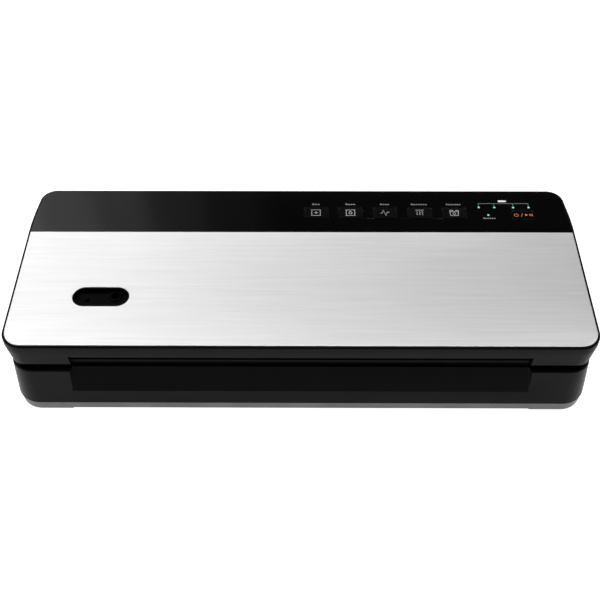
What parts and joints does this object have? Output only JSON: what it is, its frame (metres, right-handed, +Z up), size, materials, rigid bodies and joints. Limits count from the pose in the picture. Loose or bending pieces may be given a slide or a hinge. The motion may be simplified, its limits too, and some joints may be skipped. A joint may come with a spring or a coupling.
{
  "type": "vacuum sealer",
  "caption": "Countertop vacuum sealer: a long hinged lid with a steel plate and a key panel closes over a sealing bar and an air trough.",
  "frame": {"origin": "on the table, under the middle of the case", "axes": "+X along the length to the right, -Y the front where the bag goes in, +Z up"},
  "size_m": [0.4034, 0.1538, 0.0724],
  "materials": {
    "black_plastic": "satin moulded ABS",
    "grey_plastic": "satin grey",
    "brushed_steel": "fine brush along the length",
    "gloss_panel": "high gloss black",
    "key_plastic": "satin",
    "rubber": "matt",
    "gasket_foam": "closed-cell foam",
    "silicone": "matt silicone",
    "ptfe_tape": "woven glass tape, slick",
    "heater_metal": "rolled strip",
    "screw_steel": "zinc plated",
    "bracket_steel": "zinc plated sheet",
    "spring_steel": "drawn wire",
    "tray_plastic": "satin",
    "circuit_board": "solder mask",
    "components": "mixed",
    "transformer_core": "varnished laminations",
    "motor_can": "zinc plated can",
    "led_lens": "clear tinted light pipe"
  },
  "bodies": {
    "root": {"base_shell": "black_plastic", "trough_tub": "black_plastic", "bottom_cover": "grey_plastic", "rubber_feet": "rubber", "bottom_screws": "screw_steel", "drip_tray": "tray_plastic", "lower_gasket": "gasket_foam", "seal_bar": "silicone", "heater_strip": "heater_metal", "heater_tape": "ptfe_tape", "heater_clamps": "bracket_steel", "suction_grille": "black_plastic", "hinge_pins": "screw_steel", "cord_gland": "rubber", "power_board": "circuit_board", "board_parts": "components", "transformer": "transformer_core", "pump_motor": "motor_can", "motor_cradle": "rubber", "pump_yoke": "tray_plastic", "pump_heads": "tray_plastic", "pump_frame": "bracket_steel", "vacuum_hose": "silicone", "release_valve": "motor_can", "left_release_spring": "spring_steel", "right_release_spring": "spring_steel"},
    "lid": {"lid_shell": "black_plastic", "steel_plate": "brushed_steel", "control_panel": "gloss_panel", "lid_liner": "black_plastic", "upper_gasket": "gasket_foam", "press_strip_holder": "black_plastic", "press_strip": "silicone", "port_insert": "gloss_panel", "port_seal": "rubber", "control_board": "circuit_board", "tact_switches": "components", "led_lenses": "led_lens", "lid_catches": "black_plastic", "lid_screws": "screw_steel"},
    "left_release": {"left_release_button": "key_plastic", "left_latch_hook": "tray_plastic"},
    "right_release": {"right_release_button": "key_plastic", "right_latch_hook": "tray_plastic"},
    "crank": {"motor_shaft": "screw_steel", "crank_disc": "tray_plastic"},
    "dry_key": {"dry_key": "key_plastic"},
    "moist_key": {"moist_key": "key_plastic"},
    "pulse_key": {"pulse_key": "key_plastic"},
    "seal_key": {"seal_key": "key_plastic"},
    "canister_key": {"canister_key": "key_plastic"},
    "start_key": {"start_key": "key_plastic"}
  },
  "joints": [
    {"name": "lid_hinge", "type": "hinge", "parent": "root", "child": "lid", "pos_m": [0, 0.068, 0.049], "axis": [-1, 0, 0], "range_deg": [0, 90]},
    {"name": "dry_press", "type": "slide", "parent": "lid", "child": "dry_key", "axis": [0, 0, -1], "range_m": [0, 0.0008], "stiffness_N_per_m": 600},
    {"name": "moist_press", "type": "slide", "parent": "lid", "child": "moist_key", "axis": [0, 0, -1], "range_m": [0, 0.0008], "stiffness_N_per_m": 600},
    {"name": "pulse_press", "type": "slide", "parent": "lid", "child": "pulse_key", "axis": [0, 0, -1], "range_m": [0, 0.0008], "stiffness_N_per_m": 600},
    {"name": "seal_press", "type": "slide", "parent": "lid", "child": "seal_key", "axis": [0, 0, -1], "range_m": [0, 0.0008], "stiffness_N_per_m": 600},
    {"name": "canister_press", "type": "slide", "parent": "lid", "child": "canister_key", "axis": [0, 0, -1], "range_m": [0, 0.0008], "stiffness_N_per_m": 600},
    {"name": "start_press", "type": "slide", "parent": "lid", "child": "start_key", "axis": [0, 0, -1], "range_m": [0, 0.0008], "stiffness_N_per_m": 600},
    {"name": "left_release_press", "type": "slide", "parent": "root", "child": "left_release", "axis": [1, 0, 0], "range_m": [0, 0.0025], "stiffness_N_per_m": 600, "deforming": ["left_release_spring"]},
    {"name": "right_release_press", "type": "slide", "parent": "root", "child": "right_release", "axis": [-1, 0, 0], "range_m": [0, 0.0025], "stiffness_N_per_m": 600, "deforming": ["right_release_spring"]},
    {"name": "crank_spin", "type": "hinge", "parent": "root", "child": "crank", "pos_m": [-0.05, 0.034, 0.0215], "axis": [1, 0, 0], "continuous": true}
  ]
}
